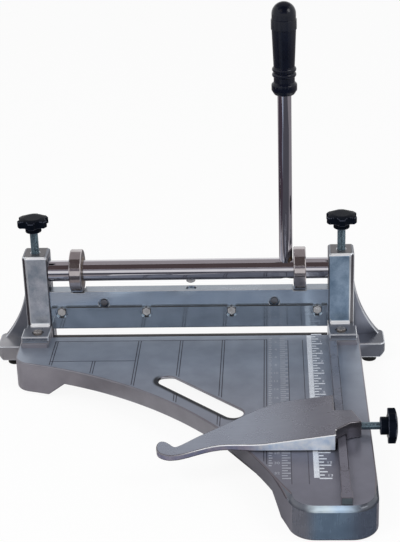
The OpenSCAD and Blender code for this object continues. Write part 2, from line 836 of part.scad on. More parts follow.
module left_bearing_block() seat() color("gray") mirror([1, 0, 0]) bearing_block();

module right_bearing_block() seat() color("gray") bearing_block();

module bush() {
    translate([0, axle_y, axle_z]) difference() {
        along_x(block_x, block_x + block_l, bush_d);
        along_x(block_x - over, block_x + block_l + over, journal_d + 2 * run_gap);
    }
}

module left_bush() seat() color("peru") mirror([1, 0, 0]) bush();

module right_bush() seat() color("peru") bush();

// Points along the middle of the spring's wire
spring_path = [
    for (i = [0:spring_turns * rings_per_turn])
        let (a = 360 * i / rings_per_turn, r = (spring_d - wire_d) / 2)
        [r * cos(a), r * sin(a), wire_d / 2 + (spring_l - wire_d) * i / (spring_turns * rings_per_turn)]
];
spring_room = min([
    for (i = [0:len(spring_path) - 1])
        for (j = [i + rings_per_turn / 2:1:len(spring_path) - 1])
            norm(spring_path[j] - spring_path[i])
]) - wire_d;
echo(least_gap_between_spring_turns = spring_room);

// Wire of round section wound along the path, one unbroken tube
module coil_spring() {
    rings = len(spring_path);
    points = [
        for (i = [0:rings - 1])
            let (c = spring_path[i], out = [c.x, c.y, 0] / norm([c.x, c.y]))
            for (k = [0:wire_sides - 1])
                let (a = 360 * k / wire_sides)
                c + wire_d / 2 * (cos(a) * out + sin(a) * [0, 0, 1])
    ];
    walls = [
        for (i = [0:rings - 2])
            for (k = [0:wire_sides - 1])
                let (a = i * wire_sides + k, b = i * wire_sides + (k + 1) % wire_sides)
                each [[a, b, b + wire_sides], [a, b + wire_sides, a + wire_sides]]
    ];
    last = (rings - 1) * wire_sides;
    caps = [
        for (k = [1:wire_sides - 2])
            each [[0, k + 1, k], [last, last + k, last + k + 1]]
    ];
    polyhedron(points, concat(walls, caps));
}

module return_spring() translate([guide_mid, shaft_y, -guide_floor]) coil_spring();

module left_return_spring() seat() color("silver") mirror([1, 0, 0]) return_spring();

module right_return_spring() seat() color("silver") return_spring();

module gauge_rail() seat() color("silver") difference() {
    block(rail_x, rail_x + rail_w, -stop_y, -rail_start, 0, rail_h);
    at_rail_screws() sunk_hole(screw_d, rail_screw_l);
}

module rail_screws() seat() color("darkgray") {
    at_rail_screws() sunk_screw(screw_d, rail_screw_l);
    at_stop_screw() sunk_screw(screw_d, stop_screw_l);
}

module rail_stop() seat() color("gray") difference() {
    block(rail_x - stop_side, rail_x + rail_w + stop_side, -stop_y - stop_l, -stop_y, 0, stop_h);
    at_stop_screw() sunk_hole(screw_d, stop_screw_l);
}

// Rubber foot hanging from the face that it is screwed to
module rubber_foot(h) {
    translate([0, 0, -h]) difference() {
        cylinder(h = h, d1 = foot_pad_d - foot_web, d2 = foot_pad_d);
        translate([0, 0, -over]) cylinder(h = h - foot_web + over, d = foot_head_d + 2 * foot_head_gap);
        hole(screw_d, 0, h + over);
    }
}

module rubber_feet() seat() color("black") {
    at_table_feet() rubber_foot(stand_h - foot_d);
    at_outrigger_feet() rubber_foot(stand_h - outrigger_bottom);
}

module foot_screw() {
    translate([0, 0, -foot_web - foot_head_h]) cylinder(h = foot_head_h, d = foot_head_d);
    translate([0, 0, -foot_web - foot_head_h / 2]) {
        cylinder(h = foot_screw_l - blind_t + foot_web, d = screw_d);
    }
}

module foot_screws() seat() color("silver") {
    at_table_feet() foot_screw();
    at_outrigger_feet() foot_screw();
}

module on_shaft() seat() translate([0, shaft_y, shaft_z]) children();

module cam_shaft() color("gainsboro") difference() {
    union() {
        on_shaft() along_x(-post_in + shaft_gap, post_in - shaft_gap, shaft_d);
        seat() translate([0, axle_y, axle_z]) both_sides() {
            along_x(post_in - shaft_gap - over, block_x + journal_l, journal_d);
        }
    }
    on_shaft() {
        translate([rod_x, 0, 0]) hole(spigot_d, -shaft_d, shaft_d);
        translate([rod_x, 0, 0]) hole(rod_d, rod_seat, shaft_d);
        translate([rod_x, 0, -shaft_d - spot_seat]) cylinder(h = shaft_d, d = spot_d);
        translate([button_x, 0, 0]) hole(button_d, -shaft_d, -button_seat);
        translate([button_x, 0, 0]) hole(screw_d, -shaft_r, 0);
    }
}

module handle_rod() on_shaft() color("gainsboro") translate([rod_x, 0, 0]) {
    translate([0, 0, -spot_seat]) cylinder(h = spot_seat + rod_seat + over, d = spigot_d);
    translate([0, 0, rod_seat]) cylinder(h = grip_start - rod_seat, d = rod_d);
    translate([0, 0, grip_start - over]) cylinder(h = tang_l + over, d = spigot_d);
}

// Half of the grip's outline, from its lower end at zero
module grip_outline() {
    polygon([
        [0, 0],
        [dome_r - grip_waist, 0],
        [grip_r, grip_foot],
        [grip_r, grip_neck],
        [grip_r - grip_waist, grip_neck + grip_waist],
        [grip_r - grip_waist, grip_rings + 4 * ring_r],
        [dome_r, grip_band],
        [dome_r, grip_l - dome_r],
        [0, grip_l - dome_r]
    ]);
    for (z = [grip_rings + ring_r, grip_rings + 3 * ring_r]) translate([dome_r - ring_r, z]) circle(ring_r);
    translate([0, grip_band]) square([grip_r, grip_band_h]);
    intersection() {
        translate([0, grip_l - dome_r]) circle(dome_r);
        translate([0, grip_band]) square([grip_r, grip_l]);
    }
}

module handle_grip() on_shaft() color("black") translate([rod_x, 0, grip_start]) difference() {
    rotate_extrude() grip_outline();
    hole(spigot_d, -over, tang_l + over);
}

module shaft_button() on_shaft() color("gray") translate([button_x, 0, 0]) {
    translate([0, 0, -button_seat - over]) cylinder(h = over, d = button_d);
    translate([0, 0, -shaft_r - button_h]) intersection() {
        translate([0, 0, button_ball]) sphere(button_ball);
        cylinder(h = shaft_r + button_h - button_seat - over, d = button_d);
    }
    translate([0, 0, -button_seat - over]) cylinder(h = button_seat, d = screw_d);
}

module ring_x(x, w, inner_d, outer_d, chamfer) {
    translate([x - w / 2, 0, 0]) rotate([0, 90, 0]) rotate_extrude() polygon([
        [inner_d / 2, 0], [outer_d / 2 - chamfer, 0], [outer_d / 2, chamfer],
        [outer_d / 2, w - chamfer], [outer_d / 2 - chamfer, w], [inner_d / 2, w]
    ]);
}

module roller_bush(x) on_shaft() color("peru") {
    ring_x(x, roller_w, shaft_d + 2 * fit_gap, roller_bore_d - 2 * run_gap, roller_chamfer / 2);
}

module left_roller_bush() roller_bush(-roller_x);

module right_roller_bush() roller_bush(roller_x);

module roller(x) on_shaft() color("rosybrown") ring_x(x, roller_w, roller_bore_d, roller_d, roller_chamfer);

module left_roller() roller(-roller_x);

module right_roller() roller(roller_x);

module at_blade_bolts() {
    for (i = [-1.5:1:1.5]) {
        translate([i * bolt_pitch, blade_y + bolt_bore_depth, bolt_z]) rotate([90, 0, 0]) children();
    }
}

module at_bar_screws() both_sides() translate([bolt_pitch, bar_y, bar_screw_z]) rotate([90, 0, 0]) children();

module blade_bar() seat() color("lightsteelblue") difference() {
    block(-post_in - tongue_l, post_in + tongue_l, bar_y, bar_y + bar_t, bar_bottom, bar_top);
    both_sides() block(roller_x - pocket_w / 2, roller_x + pocket_w / 2, bar_y - over, bar_y + bar_t + over,
        bar_top - pocket_depth, bar_top + over);
    translate([button_x, shaft_y, bar_top - pocket_depth]) {
        cylinder(h = pocket_depth + over, d = button_d + pocket_depth);
    }
    at_blade_bolts() hole(bolt_d, -bolt_l, 0);
    at_bar_screws() translate([0, 0, -bar_bore_depth]) cylinder(h = bar_bore_depth + over, d = bar_bore_d);
    at_bar_screws() hole(bar_screw_d, -bar_screw_l, 0);
}

module upper_blade() seat() color("silver") difference() {
    extrude_x(-post_in + blade_gap, post_in - blade_gap) polygon([
        [blade_y, throat_h], [blade_y + blade_t, throat_h + blade_relief],
        [blade_y + blade_t, throat_h + blade_h], [blade_y, throat_h + blade_h]
    ]);
    at_blade_bolts() cylinder(h = bolt_bore_depth + over, d = bolt_bore_d);
    at_blade_bolts() hole(bolt_d, -bolt_l, over);
}

module blade_bolts() {
    seat() color("darkgray") at_blade_bolts() hex_bolt(bolt_flats, bolt_head_h, bolt_d, bolt_l);
}

module bar_screws() {
    seat() color("dimgray") at_bar_screws() translate([0, 0, -bar_screw_l]) {
        cylinder(h = bar_screw_l - bar_screw_sink, d = bar_screw_d);
    }
}

module at_depth_screw() seat() translate([stud_x, axle_y, 0]) children();

module depth_screw() {
    translate([0, 0, block_top + slide_gap]) {
        cylinder(h = knob_z + hub_h + knob_bite - block_top - slide_gap, d = stud_d);
    }
}

// Outline of a star knob's head
module knob_plan() {
    difference() {
        circle(d = knob_d);
        for (i = [0:knob_lobes - 1]) {
            rotate(360 * i / knob_lobes) translate([knob_d / 2 + flute_r - flute_depth, 0]) circle(flute_r);
        }
    }
}

// Star knob standing on the lower face of its hub, bored for a stud
module star_knob(bore_d) {
    difference() {
        union() {
            cylinder(h = hub_h + over, d = hub_d);
            translate([0, 0, hub_h]) intersection() {
                linear_extrude(knob_head_h) knob_plan();
                translate([0, 0, knob_head_h - knob_crown_r]) sphere(knob_crown_r, $fn = 128);
            }
        }
        translate([0, 0, hub_h + knob_head_h - dish_depth]) cylinder(h = dish_depth + over, d = dish_d);
        hole(bore_d, -over, hub_h + knob_bite + fit_gap);
    }
}

module right_depth_screw() color("darkgray") at_depth_screw() depth_screw();

module left_depth_screw() color("darkgray") mirror([1, 0, 0]) at_depth_screw() depth_screw();

module depth_knob() at_depth_screw() translate([0, 0, knob_z]) star_knob(stud_d);

module right_depth_knob() color("black") depth_knob();

module left_depth_knob() color("black") mirror([1, 0, 0]) depth_knob();

// Point of the gauge's outline in parts of its length and depth, from the rail and the fence
function on_gauge(u, v) = [-u * gauge_l, -v * gauge_d];

// Outline of the gauge from above, with the hooked handle at the left and the saddle at the right
module gauge_plan() {
    saddle_in = saddle_wall + rail_w;
    front = on_gauge(0.44, 0.757);
    polygon(concat(
        [[-gauge_side, 0]],
        curve(on_gauge(0.295, 0), on_gauge(0.42, 0), on_gauge(0.558, 0.262), on_gauge(0.768, 0.568)),
        curve(on_gauge(0.768, 0.568), on_gauge(0.8, 0.615), on_gauge(0.876, 0.765), on_gauge(0.895, 0.762)),
        curve(on_gauge(0.895, 0.762), on_gauge(0.915, 0.752), on_gauge(0.935, 0.66), on_gauge(0.972, 0.66)),
        curve(on_gauge(0.972, 0.66), on_gauge(1.004, 0.662), on_gauge(1.008, 0.8), on_gauge(0.982, 0.863)),
        curve(on_gauge(0.982, 0.863), on_gauge(0.963, 0.9), on_gauge(0.94, 0.92), on_gauge(0.911, 0.92)),
        curve(on_gauge(0.911, 0.92), on_gauge(0.821, 0.92), on_gauge(0.73, 0.735), on_gauge(0.6, 0.735)),
        curve(on_gauge(0.6, 0.735), on_gauge(0.54, 0.735), on_gauge(0.5, 0.757), front),
        [
            front,
            [-gauge_side, front.y],
            [-gauge_side, -clamp_y - boss_front - boss_lead],
            [saddle_in, -clamp_y - boss_front],
            [saddle_w, -clamp_y - boss_front + boss_fall],
            [saddle_w - boss_slope, -clamp_y + boss_rear],
            [-gauge_side, -clamp_y + boss_rear]
        ]
    ));
}

module at_clamp() seat() translate([0, -gauge_y - clamp_y, clamp_z]) children();

module gauge_arm() color("thistle") difference() {
    seat() intersection() {
        translate([rail_x, -gauge_y, slide_gap]) linear_extrude(saddle_h - slide_gap) gauge_plan();
        extrude_y(-table_d, 0) polygon([
            [-half_w, 0], [half_w, 0], [half_w, saddle_h], [rail_x - over, saddle_h],
            [rail_x - 0.4 * gauge_l, arm_h + arm_fall], [rail_x - 0.58 * gauge_l, arm_h], [-half_w, arm_h]
        ]);
    }
    seat() block(rail_x - slide_gap, rail_x + rail_w + slide_gap, -table_d, 0, 0, rail_h + slide_gap);
    at_clamp() along_x(rail_x + rail_w, rail_x + saddle_w + over, clamp_d + 2 * run_gap);
}

module clamp_shoe() at_clamp() color("goldenrod") along_x(clamp_x, shoe_end, clamp_d - 2 * run_gap);

module clamp_screw() {
    screw_end = rail_x + clamp_knob_x + hub_h + knob_bite;
    at_clamp() color("darkgray") along_x(shoe_end + slide_gap, screw_end, clamp_d);
}

module clamp_knob() {
    color("black") at_clamp() translate([rail_x + clamp_knob_x, 0, 0]) rotate([0, 90, 0]) star_knob(clamp_d);
}

table();
lower_blade();
lower_blade_screws();
left_frame();
right_frame();
frame_bolts();
rear_bolts();
left_bearing_block();
right_bearing_block();
left_bush();
right_bush();
left_return_spring();
right_return_spring();
gauge_rail();
rail_screws();
rail_stop();
rubber_feet();
foot_screws();
cam_shaft();
left_roller_bush();
right_roller_bush();
handle_rod();
handle_grip();
shaft_button();
left_roller();
right_roller();
blade_bar();
upper_blade();
blade_bolts();
bar_screws();
left_depth_screw();
left_depth_knob();
right_depth_screw();
right_depth_knob();
gauge_arm();
clamp_shoe();
clamp_screw();
clamp_knob();
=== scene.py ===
import json
import math
import bmesh
import bpy
from mathutils import Color, Matrix, Vector

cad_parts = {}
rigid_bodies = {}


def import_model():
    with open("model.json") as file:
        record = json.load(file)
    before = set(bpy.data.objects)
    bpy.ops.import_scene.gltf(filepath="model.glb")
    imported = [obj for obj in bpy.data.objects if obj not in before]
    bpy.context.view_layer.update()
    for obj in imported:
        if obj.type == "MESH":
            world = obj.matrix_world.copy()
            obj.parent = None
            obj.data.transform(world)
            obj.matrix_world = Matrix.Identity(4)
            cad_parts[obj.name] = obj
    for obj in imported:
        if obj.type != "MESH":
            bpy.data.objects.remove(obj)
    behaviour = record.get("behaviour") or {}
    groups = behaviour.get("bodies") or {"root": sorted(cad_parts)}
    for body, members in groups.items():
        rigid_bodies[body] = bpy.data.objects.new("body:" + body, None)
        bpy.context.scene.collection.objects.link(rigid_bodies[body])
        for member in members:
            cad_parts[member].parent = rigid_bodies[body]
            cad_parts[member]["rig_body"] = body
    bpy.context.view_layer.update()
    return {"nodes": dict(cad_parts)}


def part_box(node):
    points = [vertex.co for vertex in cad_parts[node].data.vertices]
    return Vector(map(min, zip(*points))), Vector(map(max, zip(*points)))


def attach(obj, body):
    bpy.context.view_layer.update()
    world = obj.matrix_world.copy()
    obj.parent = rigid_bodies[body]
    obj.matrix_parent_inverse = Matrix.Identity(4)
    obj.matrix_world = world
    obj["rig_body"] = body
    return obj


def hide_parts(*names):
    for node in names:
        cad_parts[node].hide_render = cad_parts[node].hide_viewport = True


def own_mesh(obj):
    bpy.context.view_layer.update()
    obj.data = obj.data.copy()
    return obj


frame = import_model()
scene = bpy.context.scene
mm = 0.001
print("frame loaded,", len(frame["nodes"]), "nodes")

# zero of the inch scale: rear edge of the table, at the height of its top
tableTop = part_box("lower_blade")[1].z
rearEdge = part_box("lower_blade")[0].y


def onTable(x, y, z=0.0):
    return Vector((x * mm, rearEdge + y * mm, tableTop + z * mm))  # millimetres from that zero


cameraView = {
    "place": (105.5, -1596.9, 783.0),
    "yaw": -3.224,
    "pitch": 23.543,
    "roll": -1.968,
    "focalPixels": 1455.3,
    "pictureHeight": 542,
    "sensor": 36.0,
    "clip": (0.05, 50),
}


def addCamera(view):
    yaw, pitch, roll = (math.radians(view[name]) for name in ("yaw", "pitch", "roll"))
    ahead = Vector((math.sin(yaw) * math.cos(pitch), math.cos(yaw) * math.cos(pitch), -math.sin(pitch)))
    level = Vector((math.cos(yaw), -math.sin(yaw), 0))
    above = level.cross(ahead)
    right = math.cos(roll) * level + math.sin(roll) * above
    up = math.cos(roll) * above - math.sin(roll) * level
    data = bpy.data.cameras.new("photoCamera")
    data.sensor_width = view["sensor"]
    data.lens = view["focalPixels"] / view["pictureHeight"] * view["sensor"]
    data.clip_start, data.clip_end = view["clip"]
    camera = bpy.data.objects.new("photoCamera", data)
    turn = Matrix((right, up, -ahead)).transposed().to_4x4()
    camera.matrix_world = Matrix.Translation(onTable(*view["place"])) @ turn
    scene.collection.objects.link(camera)
    scene.camera = camera


addCamera(cameraView)
print("camera placed")


# node helpers

def link(tree, source, target):
    tree.links.new(source, target)


def addNode(tree, kind, **settings):
    made = tree.nodes.new(kind)
    for name, value in settings.items():
        setattr(made, name, value)
    return made


def put(tree, term, socket):
    # another node's output is linked to the socket, anything else becomes its value
    if isinstance(term, bpy.types.NodeSocket):
        link(tree, term, socket)
    else:
        socket.default_value = term


def calc(tree, operation, *terms, kind="Math", output="Value"):
    made = addNode(tree, "ShaderNode" + kind, operation=operation)
    for term, socket in zip(terms, made.inputs):
        put(tree, term, socket)
    return made.outputs[output]


def mapRange(tree, value, low, high, smooth=False):
    # 0 to 1 as the value goes from low to high
    made = addNode(tree, "ShaderNodeMapRange", interpolation_type="SMOOTHSTEP" if smooth else "LINEAR")
    for term, label in ((value, "Value"), (low, "From Min"), (high, "From Max")):
        put(tree, term, made.inputs[label])
    return made.outputs["Result"]


def newGroup(kind, name, inputs, outputs):
    # node group with its sockets, and its input and output nodes
    group = bpy.data.node_groups.new(name, kind + "NodeTree")
    for direction, sockets in (("INPUT", inputs), ("OUTPUT", outputs)):
        for label, socket in sockets:
            group.interface.new_socket(label, in_out=direction, socket_type="NodeSocket" + socket)
    return group, addNode(group, "NodeGroupInput"), addNode(group, "NodeGroupOutput")


skinLook = {
    "patchDetail": 4,
    "grainDetail": 3,
    "patchRange": (0.32, 0.68),  # values of the patches' noise that become 0 and 1
    "patchShare": 0.55,
    "grainShare": 0.45,
    "relief": 0.3 * mm,
}


def noise(tree, detail, coords, scale):
    made = addNode(tree, "ShaderNodeTexNoise")
    made.inputs["Detail"].default_value = detail
    link(tree, coords, made.inputs["Vector"])
    link(tree, scale, made.inputs["Scale"])
    return made.outputs["Fac"]


def skinGroup(name, stretch):
    # colour, roughness and height of a skin: broad patches, and fine grain that can be stretched
    group, start, end = newGroup("Shader", name, (
        ("Light", "Color"), ("Dark", "Color"), ("Patch Scale", "Float"), ("Grain Scale", "Float"),
        ("Rough Low", "Float"), ("Rough High", "Float"),
    ), (("Color", "Color"), ("Roughness", "Float"), ("Height", "Float")))
    coords = addNode(group, "ShaderNodeTexCoord").outputs["Object"]
    along = addNode(group, "ShaderNodeMapping")
    along.inputs["Scale"].default_value = stretch
    link(group, coords, along.inputs["Vector"])
    patches = noise(group, skinLook["patchDetail"], coords, start.outputs["Patch Scale"])
    grain = noise(group, skinLook["grainDetail"], along.outputs["Vector"], start.outputs["Grain Scale"])
    spread = mapRange(group, patches, *skinLook["patchRange"])
    broad = calc(group, "MULTIPLY", spread, skinLook["patchShare"])
    both = calc(group, "MULTIPLY_ADD", grain, skinLook["grainShare"], broad)
    tone = addNode(group, "ShaderNodeMix", data_type="RGBA")
    link(group, both, tone.inputs["Factor"])
    link(group, start.outputs["Dark"], tone.inputs["A"])
    link(group, start.outputs["Light"], tone.inputs["B"])
    rough = addNode(group, "ShaderNodeMapRange")
    link(group, both, rough.inputs["Value"])
    link(group, start.outputs["Rough Low"], rough.inputs["To Min"])
    link(group, start.outputs["Rough High"], rough.inputs["To Max"])
    link(group, tone.outputs["Result"], end.inputs["Color"])
    link(group, rough.outputs["Result"], end.inputs["Roughness"])
    link(group, grain, end.inputs["Height"])
    return group


skins = {
    "cast": skinGroup("castSkin", (1, 1, 1)),
    "brushedX": skinGroup("brushedAlongX", (0.02, 1, 1)),
    "brushedZ": skinGroup("brushedAlongZ", (1, 1, 0.03)),
    "turned": skinGroup("turnedRings", (1, 0.05, 0.05)),
}

postSide = 200 * mm  # outer side of the posts
noseBack = rearEdge - 350 * mm  # rear end of the nose's rounding
noseLeft, noseRight = 143 * mm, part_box("table")[1].x - 28 * mm  # ends of the nose's flat front
fenceLeft, fenceRight = -20 * mm, 167.5 * mm  # bright part of the gauge's front lip, where the highlight is painted
slotTurn = math.radians(44.6)
slotMiddle = onTable(19.5, -155, 0)
slotAlong = Vector((math.cos(slotTurn), -math.sin(slotTurn), 0))
slotAcross = Vector((slotAlong.y, -slotAlong.x, 0))  # towards the front left
slotHalf, slotRadius = 54 * mm, 11 * mm  # half length between the slot's round ends, their radius
slotShade = {
    "band": (slotRadius + 8 * mm, slotRadius + 4.5 * mm),  # from the middle line, where the shade begins and is full
    "side": (-5 * mm, 7 * mm),  # across the slot, likewise
}


def addTint(group, share, start, end):
    # the group's colour goes out multiplied by its tint, to a share
    tinted = addNode(group, "ShaderNodeMix", data_type="RGBA", blend_type="MULTIPLY")
    link(group, share, tinted.inputs["Factor"])
    link(group, start.outputs["Color"], tinted.inputs["A"])
    link(group, start.outputs["Tint"], tinted.inputs["B"])
    link(group, tinted.outputs["Result"], end.inputs["Color"])


def rimGroup(settings):
    # painted shade on the near side of the carry slot, in a band along its edge
    group, start, end = newGroup("Shader", "slotShade", (("Color", "Color"), ("Tint", "Color")), (("Color", "Color"),))
    coords = addNode(group, "ShaderNodeTexCoord").outputs["Object"]
    away = calc(group, "SUBTRACT", coords, slotMiddle, kind="VectorMath", output="Vector")
    along, across = (calc(group, "DOT_PRODUCT", away, way, kind="VectorMath") for way in (slotAlong, slotAcross))
    beyond = calc(group, "SUBTRACT", calc(group, "ABSOLUTE", along), slotHalf)
    joined = addNode(group, "ShaderNodeCombineXYZ")
    link(group, calc(group, "MAXIMUM", beyond, 0), joined.inputs["X"])
    link(group, across, joined.inputs["Y"])
    reached = calc(group, "LENGTH", joined.outputs["Vector"], kind="VectorMath")
    band = mapRange(group, reached, *settings["band"], smooth=True)
    side = mapRange(group, across, *settings["side"], smooth=True)
    addTint(group, calc(group, "MULTIPLY", band, side), start, end)
    return group


def fadeGroup():
    # tint that comes in along a direction
    group, start, end = newGroup("Shader", "fadeAlong", (
        ("Color", "Color"), ("Tint", "Color"), ("Direction", "Vector"), ("Start", "Float"), ("End", "Float"),
    ), (("Color", "Color"),))
    coords = addNode(group, "ShaderNodeTexCoord").outputs["Object"]
    along = calc(group, "DOT_PRODUCT", coords, start.outputs["Direction"], kind="VectorMath")
    addTint(group, mapRange(group, along, start.outputs["Start"], start.outputs["End"], smooth=True), start, end)
    return group


slotShading = rimGroup(slotShade)
fade = fadeGroup()


def addFinish(name, skin, light, dark, rough, metal, patch=40, grain=1500, bump=0.05, specular=0.5, tints=(),
              slotShadeTint=None):
    # material of a skin, with its tints
    material = bpy.data.materials.new(name)
    material.use_nodes = True
    tree = material.node_tree
    shader = tree.nodes["Principled BSDF"]
    surface = addNode(tree, "ShaderNodeGroup", node_tree=skins[skin])
    for label, value in (("Light", (*light, 1)), ("Dark", (*dark, 1)), ("Patch Scale", patch), ("Grain Scale", grain),
                         ("Rough Low", rough[0]), ("Rough High", rough[1])):
        surface.inputs[label].default_value = value
    colour = surface.outputs["Color"]
    # painted shade beside the carry slot's near side
    if slotShadeTint:
        shade = addNode(tree, "ShaderNodeGroup", node_tree=slotShading)
        shade.inputs["Tint"].default_value = (*slotShadeTint, 1)
        link(tree, colour, shade.inputs["Color"])
        colour = shade.outputs["Color"]
    for tint in tints:
        tone = addNode(tree, "ShaderNodeGroup", node_tree=fade)
        tone.inputs["Tint"].default_value = (*tint["colour"], 1)
        tone.inputs["Direction"].default_value = tint["along"]
        tone.inputs["Start"].default_value, tone.inputs["End"].default_value = tint["span"]
        link(tree, colour, tone.inputs["Color"])
        colour = tone.outputs["Color"]
    relief = addNode(tree, "ShaderNodeBump")
    relief.inputs["Strength"].default_value = bump
    relief.inputs["Distance"].default_value = skinLook["relief"]
    link(tree, surface.outputs["Height"], relief.inputs["Height"])
    link(tree, colour, shader.inputs["Base Color"])
    link(tree, surface.outputs["Roughness"], shader.inputs["Roughness"])
    link(tree, relief.outputs["Normal"], shader.inputs["Normal"])
    shader.inputs["Metallic"].default_value = metal
    shader.inputs["Specular IOR Level"].default_value = specular
    return material


def rgb(*parts):
    # colour from 0-255 display values
    return tuple(Color([part / 255 for part in parts]).from_srgb_to_scene_linear())


# tints: what the colour is multiplied by, the direction, and from where to where along it in metres
# painted shade: darker and warmer towards the front
frontShade = {"colour": rgb(206, 196, 198), "along": (0, -1, 0), "span": (-0.12, 0.16)}
toRight = {"colour": rgb(206, 198, 196), "along": (1, 0, 0), "span": (0.06, 0.17)}
# painted light: the skirt brighter towards the left foot
leftFootLight = {"colour": (1.4, 1.4, 1.4), "along": (-1, 0, 0), "span": (0.09, 0.18)}
# painted light: the skirt brighter towards the nose
noseSideLight = {"colour": (1.3, 1.32, 1.36), "along": (1, 0, 0), "span": (0.07, 0.12)}
# painted shade: the post fronts darker and bluer towards the right post
rightPostShade = {"colour": (0.7, 0.89, 1.04), "along": (1, 0, 0), "span": (-0.05, 0.05)}
# painted light: the frame brighter beyond the right post's outer side
wingLight = {"colour": (1.55, 1.55, 1.6), "along": (1, 0, 0), "span": (0.201, 0.204)}
# painted shade: the frame darker low at the right
outriggerShade = {"colour": (0.36, 0.36, 0.37), "along": (1, 0, -2), "span": (0.145, 0.175)}
# painted highlight: the frame brighter and warmer low at the left
leftOutriggerHighlight = {"colour": (2.1, 1.95, 1.75), "along": (-1, 0, -2), "span": (0.145, 0.175)}
# the painted highlight on the gauge's lip fades darker towards the arm
lipHighlightFade = {"colour": rgb(128, 124, 130), "along": (-1, 0, 0), "span": (-0.06, 0.015)}
# the painted reflection on the gauge's front fades darker towards the hook
hookReflectionFade = {"colour": rgb(150, 142, 154), "along": (-1, 0, 0), "span": (-0.104, -0.07)}
towardsLeft = {"along": (-1, 0, 0), "span": (-noseLeft - 3 * mm, -noseLeft + 13 * mm)}
towardsRight = {"along": (1, 0, 0), "span": (noseRight - 12 * mm, noseRight + 12 * mm)}
# painted light and shade on the nose's front: warmer towards the left turn, darker towards the right end
noseEndLightAndShade = ({"colour": (1.3, 0.93, 0.79), **towardsLeft}, {"colour": (0.7, 0.59, 0.59), **towardsRight})
# painted glint near the left end of the nose bevel, and painted shade towards both of its ends
bevelGlint = {"colour": (1.3, 1.17, 1), "along": (-1, 0, 0), "span": (-noseLeft - 22 * mm, -noseLeft - 6 * mm)}
bevelGlintAndEndShade = (bevelGlint, {"colour": (0.15, 0.14, 0.16), **towardsLeft}, {"colour": (0.15, 0.13, 0.13), **towardsRight})
